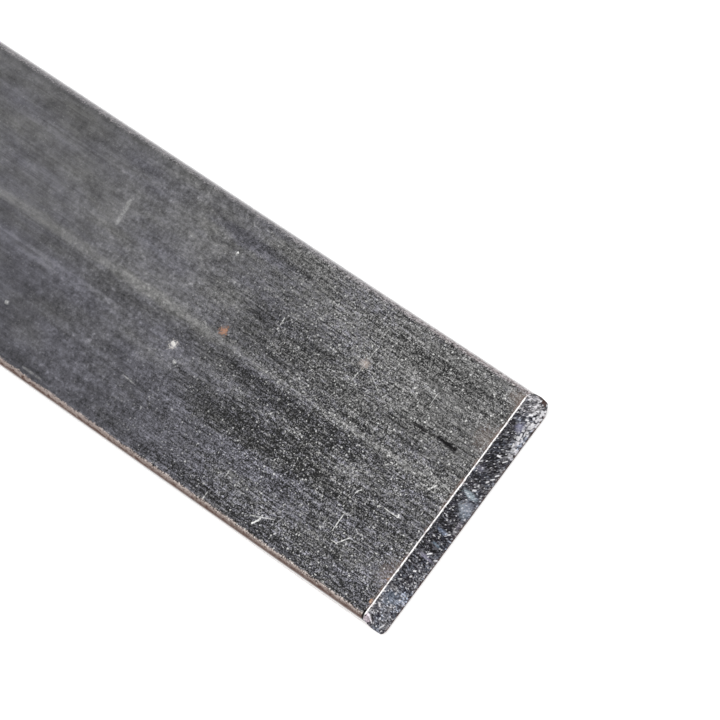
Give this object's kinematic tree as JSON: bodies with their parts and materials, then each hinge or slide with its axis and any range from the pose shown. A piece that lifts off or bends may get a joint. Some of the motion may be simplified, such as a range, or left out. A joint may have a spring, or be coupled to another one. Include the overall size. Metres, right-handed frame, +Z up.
{
  "type": "metal flat bar",
  "caption": "Straight length of hot-rolled steel flat bar in dark mill scale, with rounded edges, one end sheared with a raised burr and the other sawn square.",
  "frame": {"origin": "middle of the length and of the width, on the lower wide face, which the bar lies on", "axes": "+X along the bar towards the sheared end, +Y across its width, +Z up through its thickness to the face with the burr"},
  "size_m": [0.5, 0.025, 0.0041],
  "materials": {
    "mill_scale_steel": "as rolled: dull dark grey mill scale, rust-brown along the rolled edges, bare metal at the sheared end"
  },
  "bodies": {
    "root": {"flat_bar": "mill_scale_steel"}
  },
  "joints": []
}
